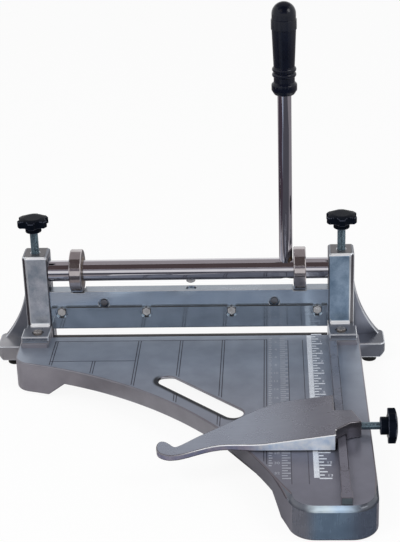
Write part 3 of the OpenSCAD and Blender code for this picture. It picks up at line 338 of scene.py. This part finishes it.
finishRows = {
    # name: skin, light, dark, roughness range, metallic, then what differs from the defaults
    "tableCast": ("cast", rgb(158, 167, 182), rgb(134, 142, 156), (0.26, 0.38), 0.55,
                  {"bump": 0.10, "tints": (frontShade,), "slotShadeTint": rgb(70, 68, 70)}),
    "tableSide": ("cast", rgb(134, 132, 139), rgb(112, 110, 117), (0.32, 0.46), 0.4,
                  {"bump": 0.10, "tints": (leftFootLight, noseSideLight)}),
    "noseFace": ("brushedZ", rgb(116, 137, 159), rgb(84, 103, 125), (0.2, 0.32), 0.35, {"tints": noseEndLightAndShade}),
    # nearly white and bluish: painted highlight along the nose bevel
    "noseBevel": ("brushedX", rgb(214, 236, 255), rgb(160, 186, 216), (0.16, 0.28), 0.25,
                  {"patch": 60, "tints": bevelGlintAndEndShade}),
    # painted shade on the carry slot's rounded near edge
    "slotRim": ("cast", rgb(58, 56, 60), rgb(40, 38, 42), (0.25, 0.4), 0.8, {}),
    "grooveDark": ("cast", rgb(84, 84, 94), rgb(66, 66, 76), (0.4, 0.5), 0.5, {}),
    "edgeSoft": ("cast", rgb(140, 140, 148), rgb(120, 120, 128), (0.26, 0.36), 0.6, {"tints": (frontShade,)}),
    "frameCast": ("cast", rgb(122, 126, 136), rgb(98, 102, 112), (0.24, 0.36), 0.55,
                  {"tints": (wingLight, outriggerShade, leftOutriggerHighlight)}),
    "frameFace": ("cast", rgb(204, 206, 214), rgb(122, 136, 152), (0.14, 0.28), 0.5,
                  {"patch": 70, "grain": 500, "tints": (rightPostShade,)}),
    "postTop": ("cast", rgb(102, 99, 102), rgb(74, 72, 76), (0.24, 0.36), 0.55, {}),
    # painted highlight on the posts' rounded front edges
    "postLip": ("cast", rgb(250, 250, 250), rgb(226, 228, 234), (0.12, 0.22), 0.25, {}),
    # painted highlight on rounded edges; on the carry slot's walls, painted light
    "edgeBright": ("cast", rgb(216, 220, 226), rgb(180, 183, 190), (0.12, 0.22), 0.5, {}),
    # painted shade on the frames' rounded edges that face sideways
    "edgeDark": ("cast", rgb(110, 108, 112), rgb(78, 78, 84), (0.2, 0.3), 0.7, {}),
    # painted highlight along the gauge's front lip
    "lipBright": ("brushedX", rgb(255, 255, 255), rgb(240, 244, 252), (0.1, 0.2), 0.1, {"tints": (lipHighlightFade,)}),
    "barSteel": ("brushedX", rgb(206, 222, 238), rgb(180, 196, 214), (0.12, 0.22), 0.85, {"grain": 900}),
    "barTop": ("brushedX", rgb(160, 168, 178), rgb(134, 142, 152), (0.2, 0.3), 0.9, {"grain": 900}),
    "bladeSteel": ("brushedX", rgb(188, 200, 210), rgb(162, 174, 186), (0.06, 0.12), 0.95, {"grain": 900}),
    # black steel of the lower blade; on the upper blade's top faces, painted shade
    "blackSteel": ("brushedX", rgb(62, 58, 58), rgb(40, 37, 38), (0.3, 0.45), 0.8, {}),
    "gaugeCast": ("brushedX", rgb(158, 165, 179), rgb(134, 139, 153), (0.22, 0.34), 0.8,
                  {"patch": 25, "grain": 260, "bump": 0.01, "tints": (toRight,)}),
    # near white with bluish patches: painted reflection on the gauge's front face
    "gaugeFront": ("cast", rgb(255, 255, 255), rgb(166, 192, 226), (0.04, 0.09), 0.06,
                   {"patch": 90, "grain": 300, "bump": 0.02, "tints": (hookReflectionFade,)}),
    "gaugeEdge": ("cast", rgb(118, 116, 122), rgb(92, 88, 92), (0.12, 0.22), 0.9, {}),
    "railSteel": ("cast", rgb(150, 156, 170), rgb(126, 131, 145), (0.22, 0.34), 0.6, {"tints": (frontShade,)}),
    "chrome": ("turned", rgb(204, 202, 208), rgb(192, 190, 196), (0.02, 0.05), 1.0, {"bump": 0.005}),
    "rollerSteel": ("turned", rgb(188, 182, 184), rgb(162, 155, 156), (0.07, 0.13), 0.95, {}),
    # painted shade on the rollers' end faces
    "rollerSide": ("cast", rgb(128, 122, 122), rgb(100, 94, 94), (0.3, 0.42), 0.9, {}),
    "zinc": ("cast", rgb(128, 148, 158), rgb(88, 108, 120), (0.22, 0.36), 0.9, {"patch": 200}),
    "boltSteel": ("cast", rgb(222, 222, 222), rgb(172, 166, 162), (0.18, 0.30), 0.5, {"patch": 250}),
    # painted shade on the rounded rims of the blade bolts' heads
    "boltRim": ("cast", rgb(74, 74, 80), rgb(46, 46, 52), (0.2, 0.3), 0.8, {}),
    "boltDark": ("cast", rgb(200, 194, 190), rgb(58, 50, 46), (0.18, 0.3), 0.6, {"patch": 350}),
    "stopSteel": ("cast", rgb(106, 116, 124), rgb(74, 84, 90), (0.2, 0.3), 0.35, {}),
    "darkSteel": ("cast", rgb(96, 104, 120), rgb(70, 76, 90), (0.28, 0.40), 0.9, {}),
    "springWire": ("cast", rgb(170, 170, 174), rgb(130, 130, 134), (0.25, 0.40), 1.0, {}),
    "bronze": ("cast", rgb(140, 120, 96), rgb(112, 94, 74), (0.30, 0.45), 1.0, {}),
    "knobBlack": ("cast", rgb(16, 22, 33), rgb(8, 12, 20), (0.3, 0.42), 0.0, {"grain": 2500, "specular": 0.03}),
    # painted highlight on the knobs' rounded edges
    "knobRim": ("cast", rgb(66, 70, 84), rgb(44, 48, 60), (0.3, 0.42), 0.0, {"grain": 2500, "specular": 0.1}),
    "gripBlack": ("cast", rgb(13, 19, 36), rgb(6, 10, 22), (0.16, 0.24), 0.0, {"grain": 2500, "specular": 0.26}),
    "rubber": ("cast", rgb(32, 32, 32), rgb(20, 20, 20), (0.6, 0.8), 0.0,
               {"grain": 2500, "bump": 0.2, "specular": 0.2}),
    "tickBright": ("cast", rgb(236, 242, 250), rgb(208, 214, 224), (0.2, 0.32), 0.3, {"patch": 150}),
    "tickCast": ("cast", rgb(190, 194, 204), rgb(160, 164, 174), (0.3, 0.42), 0.5, {"patch": 150}),
}
finishes = {name: addFinish(name, *row[:5], **row[5]) for name, row in finishRows.items()}
print("finishes made:", len(finishes))

rounding = {
    "corner": math.radians(40),  # least turn of an edge that is rounded
    "space": 1.8,  # widths of the rounding that a face has to reach from its edge
    "segments": 3,
    "profile": 0.5,
    "weld": 0.002 * mm,
    "flat": math.radians(1.0),  # faces that turn by less become one
    "smooth": math.radians(32),
    "weight": 100,
}

# shares of a normal that point one way
square, mostly, partly, slightly, barely = 0.95, 0.9, 0.5, 0.3, 0.1
bevelRange = (0.2, square)
roundRange = (0.25, square)

# places that tell parts of the frames and the table apart
flangeSide, postFoot, postHigh = (tableTop + height * mm for height in (6, 13, 60))
grooveFloor, grooveSide, grooveRim = (tableTop - depth * mm for depth in (0.75, 0.3, 0.1))
bevelBack = noseBack + 40 * mm
slotEdge = slotRadius + 2.5 * mm


def between(value, limits):
    return limits[0] < value < limits[1]


def reach(edge, face):
    # how far a face goes from one of its edges
    start, along = edge.verts[0].co, (edge.verts[1].co - edge.verts[0].co).normalized()
    return max((vert.co - start).cross(along).length for vert in face.verts)


def keepsCorners(face):
    # a shallow groove in the table top, or the bevel around the nose
    low = min(vert.co.z for vert in face.verts)
    bevelled = between(face.normal.z, bevelRange) and face.calc_center_median().y < noseBack
    return bevelled or grooveFloor < low < grooveSide


def roundable(edge, width, isTable):
    # outer corners whose two faces have room for the rounding
    if len(edge.link_faces) != 2 or not edge.is_convex or edge.calc_face_angle(0) < rounding["corner"]:
        return False
    if isTable and any(keepsCorners(face) for face in edge.link_faces):
        return False
    return all(reach(edge, face) > rounding["space"] * width for face in edge.link_faces)


def softCopy(node, width):
    # copy of a CAD node in the same place, with its outer corners rounded; the rounding gets material 1
    work = bmesh.new()
    work.from_mesh(frame["nodes"][node].data)
    bmesh.ops.remove_doubles(work, verts=work.verts, dist=rounding["weld"])
    bmesh.ops.dissolve_limit(work, angle_limit=rounding["flat"], verts=work.verts, edges=work.edges)
    for face in work.faces:
        face.material_index = 0
    edges = [edge for edge in work.edges if roundable(edge, width, node == "table")]
    bmesh.ops.bevel(work, geom=edges, offset=width, offset_type="OFFSET", segments=rounding["segments"],
                    profile=rounding["profile"], affect="EDGES", clamp_overlap=False, material=1)
    mesh = bpy.data.meshes.new(node + ".soft")
    work.to_mesh(mesh)
    work.free()
    piece = bpy.data.objects.new(node + ".soft", mesh)
    scene.collection.objects.link(piece)
    return piece


def smoothByAngle(mesh):
    mesh.polygons.foreach_set("use_smooth", [True] * len(mesh.polygons))
    mesh.set_sharp_from_angle(angle=rounding["smooth"])


def flatFaces(piece):
    # normals weighted by area, so that large faces stay flat beside their rounded edges
    weighted = piece.modifiers.new("flatFaces", "WEIGHTED_NORMAL")
    weighted.weight = rounding["weight"]
    weighted.keep_sharp = True
    plain = bpy.data.meshes.new_from_object(piece.evaluated_get(bpy.context.evaluated_depsgraph_get()))
    piece.modifiers.remove(weighted)
    before = piece.data
    piece.data = plain
    bpy.data.meshes.remove(before)


# pickers of faces that get a finish of their own

def onPostFront(polygon):
    return polygon.normal.y < -square and polygon.center.z > postFoot and abs(polygon.center.x) < postSide


def onPostTop(polygon):
    return polygon.normal.z > square and polygon.center.z > postHigh


def rounded(polygon):
    return between(-polygon.normal.y, roundRange) and polygon.center.z > flangeSide


def roundedFront(polygon):
    return rounded(polygon) and abs(polygon.normal.x) < slightly


def roundedSide(polygon):
    return rounded(polygon) and abs(polygon.normal.x) > slightly


def facesFront(polygon):
    return polygon.normal.y < -mostly


def endFace(polygon):
    return abs(polygon.normal.x) > mostly


def facesUp(polygon):
    return polygon.normal.z > square


def steep(polygon):
    return abs(polygon.normal.z) < partly


def grooveFace(polygon):
    return grooveFloor < polygon.center.z < grooveRim


def onNose(polygon):
    return polygon.normal.y < -partly and polygon.center.y < noseBack


def onNoseBevel(polygon):
    return between(polygon.normal.z, bevelRange) and polygon.center.y < bevelBack


def onFence(polygon):
    return polygon.normal.y < -slightly and polygon.center.x < fenceRight


def fenceLip(polygon):
    return onFence(polygon) and polygon.normal.z > barely and polygon.center.x > fenceLeft


def besideSlot(polygon):
    away = polygon.center - slotMiddle
    beyond = max(abs(away.dot(slotAlong)) - slotHalf, 0)
    return math.hypot(beyond, away.dot(slotAcross)) < slotEdge


def slotNearSide(polygon):
    return besideSlot(polygon) and (polygon.center - slotMiddle).dot(slotAcross) > 0


def slotWall(polygon):
    return abs(polygon.normal.z) < slightly and besideSlot(polygon)


edgePickers = (slotNearSide, fenceLip)  # these look at the rounded edges, the others at the faces


def dress(node, face, edge=None, width=0.0, special=None):
    # a finish on a CAD node, or on its rounded copy where a width is given; special finishes go to picked faces
    if not width:
        plain = frame["nodes"][node]
        plain.data.materials.clear()
        plain.data.materials.append(finishes[face])
        return
    special = special or {}
    piece = softCopy(node, width * mm)
    mesh = piece.data
    for name in [face, edge or face, *special]:
        mesh.materials.append(finishes[name])
    for polygon in mesh.polygons:
        for spot, picks in enumerate(special.values()):
            if polygon.material_index == (1 if picks in edgePickers else 0) and picks(polygon):
                polygon.material_index = 2 + spot
    smoothByAngle(mesh)
    flatFaces(piece)
    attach(piece, frame["nodes"][node]["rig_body"])
    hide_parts(node)


frameFaces = {"frameFace": onPostFront, "postTop": onPostTop, "postLip": roundedFront, "edgeDark": roundedSide}
dressing = [
    # node, finish, finish of the rounded edges, width of the rounding in mm, finishes of picked faces
    # the carry slot's near edge gets painted shade and its walls painted light
    ("table", "tableSide", "edgeSoft", 1.6,
     {"grooveDark": grooveFace, "tableCast": facesUp, "noseBevel": onNoseBevel, "noseFace": onNose,
      "slotRim": slotNearSide, "edgeBright": slotWall}),
    ("lower_blade", "blackSteel", None, 0.25),
    ("lower_blade_screws", "boltSteel"),
    ("left_frame", "frameCast", "edgeBright", 1.4, frameFaces),
    ("right_frame", "frameCast", "edgeBright", 1.4, frameFaces),
    ("frame_bolts", "boltDark", None, 0.4),
    ("rear_bolts", "boltSteel", None, 0.4),
    ("left_bearing_block", "darkSteel", None, 0.5),
    ("right_bearing_block", "darkSteel", None, 0.5),
    ("left_bush", "bronze"),
    ("right_bush", "bronze"),
    ("gauge_rail", "railSteel", "edgeSoft", 0.5),
    ("rail_screws", "railSteel"),
    ("rail_stop", "railSteel", "edgeSoft", 0.6, {"stopSteel": facesFront}),
    ("rubber_feet", "rubber", None, 0.6),
    ("foot_screws", "boltSteel"),
    ("cam_shaft", "chrome"),
    ("left_roller_bush", "bronze"),
    ("right_roller_bush", "bronze"),
    ("handle_rod", "chrome"),
    ("handle_grip", "gripBlack", None, 0.8),
    ("shaft_button", "boltSteel"),
    ("left_roller", "rollerSteel", None, 0.2, {"rollerSide": endFace}),
    ("right_roller", "rollerSteel", None, 0.2, {"rollerSide": endFace}),
    ("blade_bar", "barTop", "edgeBright", 0.6, {"barSteel": facesFront}),
    # the blade's top faces get painted shade
    ("upper_blade", "bladeSteel", None, 0.2, {"blackSteel": facesUp}),
    ("blade_bolts", "boltSteel", "boltRim", 0.7),
    ("bar_screws", "springWire", None, 0.4),
    ("left_depth_screw", "zinc"),
    ("right_depth_screw", "zinc"),
    ("left_depth_knob", "knobBlack", "knobRim", 0.8),
    ("right_depth_knob", "knobBlack", "knobRim", 0.8),
    ("gauge_arm", "gaugeCast", "gaugeEdge", 1.2, {"gaugeFront": onFence, "gaugeEdge": steep, "lipBright": fenceLip}),
    ("clamp_shoe", "bronze"),
    ("clamp_screw", "zinc"),
    ("clamp_knob", "knobBlack", "knobRim", 0.8),
]
for row in dressing:
    dress(*row)
print("nodes dressed:", len(dressing))


spring = {"nodes": ("left_return_spring", "right_return_spring"), "finish": "springWire", "joint": "blade_drop"}


def returnSprings(settings):
    # copies of the springs in their finish, each riding with its spring's body
    for node in settings["nodes"]:
        mesh = frame["nodes"][node].data.copy()
        mesh.materials.clear()
        mesh.materials.append(finishes[settings["finish"]])
        piece = bpy.data.objects.new(node + ".coil", mesh)
        scene.collection.objects.link(piece)
        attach(piece, frame["nodes"][node]["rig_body"])
        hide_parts(node)
        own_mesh(piece)


returnSprings(spring)
print("return springs:", len(spring["nodes"]))


# repeated detail, made with geometry nodes and kept as plain meshes

almostNone = 0.25  # a remainder below this counts as none


def choose(tree, condition, yes, no):
    made = addNode(tree, "GeometryNodeSwitch", input_type="FLOAT")
    link(tree, condition, made.inputs["Switch"])
    link(tree, yes, made.inputs["True"])
    link(tree, no, made.inputs["False"])
    return made.outputs["Output"]


def paint(tree, geometry, start, end):
    # geometry goes out as plain mesh, in the group's material
    real = addNode(tree, "GeometryNodeRealizeInstances")
    link(tree, geometry, real.inputs["Geometry"])
    painted = addNode(tree, "GeometryNodeSetMaterial")
    link(tree, real.outputs["Geometry"], painted.inputs["Geometry"])
    link(tree, start.outputs["Material"], painted.inputs["Material"])
    link(tree, painted.outputs["Geometry"], end.inputs["Geometry"])


def tickTree():
    # row of ticks towards -Y, each group with one long, one middle and short ticks
    tree, start, end = newGroup("Geometry", "scaleTicks", (
        ("Count", "Int"), ("Pitch", "Float"), ("Group", "Int"), ("Width", "Float"), ("Height", "Float"),
        ("Short", "Float"), ("Middle", "Float"), ("Long", "Float"), ("Material", "Material"),
    ), (("Geometry", "Geometry"),))
    step = addNode(tree, "ShaderNodeCombineXYZ")
    link(tree, calc(tree, "MULTIPLY", start.outputs["Pitch"], -1), step.inputs["Y"])
    row = addNode(tree, "GeometryNodeMeshLine", mode="OFFSET")
    link(tree, start.outputs["Count"], row.inputs["Count"])
    link(tree, step.outputs[0], row.inputs["Offset"])
    index = addNode(tree, "GeometryNodeInputIndex").outputs[0]
    length = start.outputs["Short"]
    for label, share in (("Middle", 0.5), ("Long", 1)):
        after = calc(tree, "MODULO", index, calc(tree, "MULTIPLY", start.outputs["Group"], share))
        length = choose(tree, calc(tree, "LESS_THAN", after, almostNone), start.outputs[label], length)
    size = addNode(tree, "ShaderNodeCombineXYZ")
    for source, label in ((length, "X"), (start.outputs["Width"], "Y"), (start.outputs["Height"], "Z")):
        link(tree, source, size.inputs[label])
    cube = addNode(tree, "GeometryNodeMeshCube")
    shifted = addNode(tree, "GeometryNodeTransform")
    shifted.inputs["Translation"].default_value = (0.5, 0, 0.5)  # the cube starts at its tick's place
    link(tree, cube.outputs["Mesh"], shifted.inputs["Geometry"])
    ticks = addNode(tree, "GeometryNodeInstanceOnPoints")
    link(tree, row.outputs["Mesh"], ticks.inputs["Points"])
    link(tree, shifted.outputs["Geometry"], ticks.inputs["Instance"])
    link(tree, size.outputs[0], ticks.inputs["Scale"])
    paint(tree, ticks.outputs["Instances"], start, end)
    return tree


def threadTree(settings):
    # one ridge wound along +Z
    tree, start, end = newGroup("Geometry", "threadRidge", (
        ("Turns", "Float"), ("Radius", "Float"), ("Length", "Float"), ("Ridge", "Float"), ("Material", "Material"),
    ), (("Geometry", "Geometry"),))
    wound = addNode(tree, "GeometryNodeCurveSpiral")
    wound.inputs["Resolution"].default_value = settings["stepsPerTurn"]
    for label, source in (("Rotations", "Turns"), ("Start Radius", "Radius"), ("End Radius", "Radius"),
                          ("Height", "Length")):
        link(tree, start.outputs[source], wound.inputs[label])
    section = addNode(tree, "GeometryNodeCurvePrimitiveCircle", mode="RADIUS")
    section.inputs["Resolution"].default_value = settings["ridgeSides"]
    link(tree, start.outputs["Ridge"], section.inputs["Radius"])
    tube = addNode(tree, "GeometryNodeCurveToMesh")
    tube.inputs["Fill Caps"].default_value = True
    link(tree, wound.outputs["Curve"], tube.inputs["Curve"])
    link(tree, section.outputs["Curve"], tube.inputs["Profile Curve"])
    paint(tree, tube.outputs["Mesh"], start, end)
    return tree


def fromNodes(name, tree, values, place, node):
    # plain mesh of a node tree, set in place, riding with a CAD node's body
    piece = bpy.data.objects.new(name, bpy.data.meshes.new(name))
    scene.collection.objects.link(piece)
    modifier = piece.modifiers.new(name, "NODES")
    modifier.node_group = tree
    for item in tree.interface.items_tree:
        if item.in_out == "INPUT":
            modifier[item.identifier] = values[item.name]
    made = bpy.data.meshes.new_from_object(piece.evaluated_get(bpy.context.evaluated_depsgraph_get()))
    piece.modifiers.remove(modifier)
    piece.data = made
    made.transform(place)
    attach(piece, frame["nodes"][node]["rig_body"])


inch = 25.4
lift = {"sunk": 0.10 * mm, "height": 0.22 * mm}  # the rules stand 0.12 mm above the table, under the gauge's gap

inchRule = {"Count": 53, "Pitch": inch / 4 * mm, "Group": 4, "Width": 2.3 * mm, "Height": lift["height"],
            "Short": 5.4 * mm, "Middle": 8.5 * mm, "Long": 12.8 * mm, "Material": finishes["tickBright"]}
inchStrip = {"Count": 1, "Pitch": 0.0, "Group": 1, "Width": 326 * mm, "Height": lift["height"],
             "Short": 5.7 * mm, "Middle": 5.7 * mm, "Long": 5.7 * mm, "Material": finishes["tickBright"]}
centimetreRule = {"Count": 65, "Pitch": 5 * mm, "Group": 2, "Width": 1.9 * mm, "Height": lift["height"],
                  "Short": 6 * mm, "Middle": 6 * mm, "Long": 9 * mm, "Material": finishes["tickCast"]}
backRule = dict(centimetreRule, Count=60, Short=3 * mm, Middle=3 * mm, Long=4 * mm)
border = dict(inchStrip, Short=0.8 * mm, Middle=0.8 * mm, Long=0.8 * mm, Material=finishes["grooveDark"])
rules = [
    # name, settings, place of the first tick on the table in mm
    ("inchTicks", inchRule, 148, 0),
    ("inchStrip", inchStrip, 142.5, -166),
    ("centimetreTicks", centimetreRule, 110, -10),
    ("centimetreTicksBack", backRule, 96.5, -10),
    ("border0", border, 119.4, -178),
    ("border1", border, 137.0, -178),
]


def atTable(x, y):
    return Matrix.Translation(onTable(x, y) - Vector((0, 0, lift["sunk"])))


ticks = tickTree()
for name, rule, x, y in rules:
    fromNodes(name, ticks, rule, atTable(x, y), "table")

# numbers beside the rules, in mm: all at x, each at its own step from the zero and then shifted
inchNumbers = {"numbers": range(1, 14), "step": inch, "x": 159, "shift": 5.5, "size": 6, "finish": "tickBright"}
centimetreNumbers = {"numbers": range(2, 33, 2), "step": 10, "x": 105, "shift": 0, "size": 6, "finish": "tickCast"}


def addNumbers(name, settings):
    # flat numerals in one mesh
    work = bmesh.new()
    for number in settings["numbers"]:
        curve = bpy.data.curves.new(name, "FONT")
        curve.body = str(number)
        curve.size = settings["size"] * mm
        curve.align_x = curve.align_y = "CENTER"
        curve.extrude = lift["height"] / 2
        holder = bpy.data.objects.new(name, curve)
        scene.collection.objects.link(holder)
        letters = bpy.data.meshes.new_from_object(holder.evaluated_get(bpy.context.evaluated_depsgraph_get()))
        place = atTable(settings["x"], settings["shift"] - number * settings["step"])
        letters.transform(place @ Matrix.Translation((0, 0, lift["height"] / 2)))
        work.from_mesh(letters)
        bpy.data.objects.remove(holder)
        bpy.data.curves.remove(curve)
        bpy.data.meshes.remove(letters)
    mesh = bpy.data.meshes.new(name)
    work.to_mesh(mesh)
    work.free()
    mesh.materials.append(finishes[settings["finish"]])
    piece = bpy.data.objects.new(name, mesh)
    scene.collection.objects.link(piece)
    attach(piece, frame["nodes"]["table"]["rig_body"])


addNumbers("inchNumbers", inchNumbers)
addNumbers("centimetreNumbers", centimetreNumbers)

threading = {
    "pitch": 1.5 * mm,
    "ridge": 0.45 * mm,
    "sunk": 0.2 * mm,
    "room": 1 * mm,  # bare length at each end
    "stepsPerTurn": 24,
    "ridgeSides": 6,
    "finish": "zinc",
}
thread = threadTree(threading)


def addThread(name, node, axis, low, high):
    # thread on the bare part of a screw, between two places on its axis
    near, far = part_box(node)
    middle = (near + far) / 2
    start = low + threading["room"]
    length = high - threading["room"] - start
    values = {"Turns": length / threading["pitch"], "Radius": (far.y - near.y) / 2 - threading["sunk"],
              "Length": length, "Ridge": threading["ridge"], "Material": finishes[threading["finish"]]}
    if axis == "Z":
        place = Matrix.Translation((middle.x, middle.y, start))
    else:
        place = Matrix.Translation((start, middle.y, middle.z)) @ Matrix.Rotation(math.radians(90), 4, "Y")
    fromNodes(name, thread, values, place, node)


for side in ("left", "right"):
    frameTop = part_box(side + "_frame")[1].z
    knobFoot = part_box(side + "_depth_knob")[0].z
    addThread(side + "Thread", side + "_depth_screw", "Z", frameTop, knobFoot)
addThread("clampThread", "clamp_screw", "X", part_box("gauge_arm")[1].x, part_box("clamp_knob")[0].x)
print("rules, numbers and threads added")


# studio: white floor and surround, soft lamps, and cards that only mirrors show
studio = {
    "floorSize": 6.0,
    "floorTone": 0.95,
    "floorRough": 0.9,
    "floorGlow": 0.92,
    "ambient": 0.5,
    "lampAim": (0, 0, 0.1),
    "lamps": [
        # place, size, watts
        ((-1.1, -1.3, 1.9), 0.9, 20),
        ((1.5, -0.8, 1.6), 0.9, 12),
    ],
    "cardAim": (0, 0.19, 0.12),
    "hungCards": [
        # place, width, height, colour
        ((0.0, 1.08, 1.91), 3.0, 2.1, rgb(176, 170, 172)),
        ((0.0, -0.78, 1.87), 3.4, 2.02, rgb(92, 80, 80)),
        ((0.0, -2.04, 1.25), 3.0, 0.53, rgb(134, 130, 140)),
    ],
    "floorCards": [
        # likewise, facing up
        ((0.2, -0.66, 0.004), 1.6, 1.2, rgb(90, 90, 97)),
        ((-0.72, 0.15, 0.003), 1.2, 1.5, rgb(166, 160, 162)),
        ((0.92, 0.15, 0.003), 1.0, 1.5, rgb(156, 152, 156)),
        ((0.0, 1.0, 0.003), 3.2, 1.3, rgb(150, 146, 148)),
        ((-0.69, 0.02, 0.005), 0.82, 1.2, rgb(78, 68, 78)),
        ((-0.38, -0.76, 0.006), 0.22, 0.28, rgb(204, 216, 236)),
        ((-0.38, -0.46, 0.006), 0.2, 0.32, rgb(136, 142, 156)),
    ],
}
white = (1, 1, 1, 1)


def seenDirectly(tree):
    # 1 for rays that show the white surround as it is: from the camera, from a mirror, through glass
    path = addNode(tree, "ShaderNodeLightPath")
    total = path.outputs["Is Camera Ray"]
    for label in ("Is Glossy Ray", "Is Transmission Ray"):
        total = calc(tree, "MAXIMUM", total, path.outputs[label])
    return total


def addWorld(settings):
    world = bpy.data.worlds.new("studioWorld")
    world.use_nodes = True
    scene.world = world
    tree = world.node_tree
    tree.nodes.clear()
    end = addNode(tree, "ShaderNodeOutputWorld")
    soft = addNode(tree, "ShaderNodeBackground")
    soft.inputs["Color"].default_value = white
    soft.inputs["Strength"].default_value = settings["ambient"]
    full = addNode(tree, "ShaderNodeBackground")
    full.inputs["Color"].default_value = white
    seen = addNode(tree, "ShaderNodeMixShader")
    link(tree, seenDirectly(tree), seen.inputs[0])
    link(tree, soft.outputs[0], seen.inputs[1])
    link(tree, full.outputs[0], seen.inputs[2])
    link(tree, seen.outputs[0], end.inputs["Surface"])


def flatPiece(name, width, height):
    mesh = bpy.data.meshes.new(name)
    x, y = width / 2, height / 2
    mesh.from_pydata([(-x, -y, 0), (x, -y, 0), (x, y, 0), (-x, y, 0)], [], [(0, 1, 2, 3)])
    piece = bpy.data.objects.new(name, mesh)
    scene.collection.objects.link(piece)
    return piece


def addFloor(settings):
    floor = flatPiece("floor", settings["floorSize"], settings["floorSize"])
    material = bpy.data.materials.new("floorWhite")
    material.use_nodes = True
    tree = material.node_tree
    shader = tree.nodes["Principled BSDF"]
    shader.inputs["Base Color"].default_value = (settings["floorTone"],) * 3 + (1,)
    shader.inputs["Roughness"].default_value = settings["floorRough"]
    shader.inputs["Specular IOR Level"].default_value = 0
    glow = addNode(tree, "ShaderNodeEmission")
    glow.inputs["Color"].default_value = white
    mix = addNode(tree, "ShaderNodeMixShader")
    link(tree, calc(tree, "MULTIPLY", seenDirectly(tree), settings["floorGlow"]), mix.inputs[0])
    link(tree, shader.outputs[0], mix.inputs[1])
    link(tree, glow.outputs[0], mix.inputs[2])
    link(tree, mix.outputs[0], tree.nodes["Material Output"].inputs["Surface"])
    floor.data.materials.append(material)


def addCards(settings):
    cards = [(Vector(settings["cardAim"]) - Vector(row[0]), *row) for row in settings["hungCards"]]
    cards += [(Vector((0, 0, 1)), *row) for row in settings["floorCards"]]
    for number, (facing, place, width, height, colour) in enumerate(cards):
        card = flatPiece(f"card{number}", width, height)
        card.location = place
        card.rotation_euler = facing.to_track_quat("Z", "Y").to_euler()
        material = bpy.data.materials.new(f"card{number}")
        material.use_nodes = True
        tree = material.node_tree
        tone = addNode(tree, "ShaderNodeEmission")
        tone.inputs["Color"].default_value = (*colour, 1)
        link(tree, tone.outputs[0], tree.nodes["Material Output"].inputs["Surface"])
        card.data.materials.append(material)
        card.visible_camera = card.visible_diffuse = card.visible_shadow = card.visible_transmission = False


def addLamps(settings):
    for number, (place, size, watts) in enumerate(settings["lamps"]):
        data = bpy.data.lights.new(f"softLamp{number}", "AREA")
        data.size = size
        data.energy = watts
        lamp = bpy.data.objects.new(f"softLamp{number}", data)
        lamp.location = place
        facing = Vector(settings["lampAim"]) - Vector(place)
        lamp.rotation_euler = facing.to_track_quat("-Z", "Y").to_euler()
        scene.collection.objects.link(lamp)


addWorld(studio)
addFloor(studio)
addCards(studio)
addLamps(studio)
scene.view_settings.view_transform = "Standard"
print("studio lit")
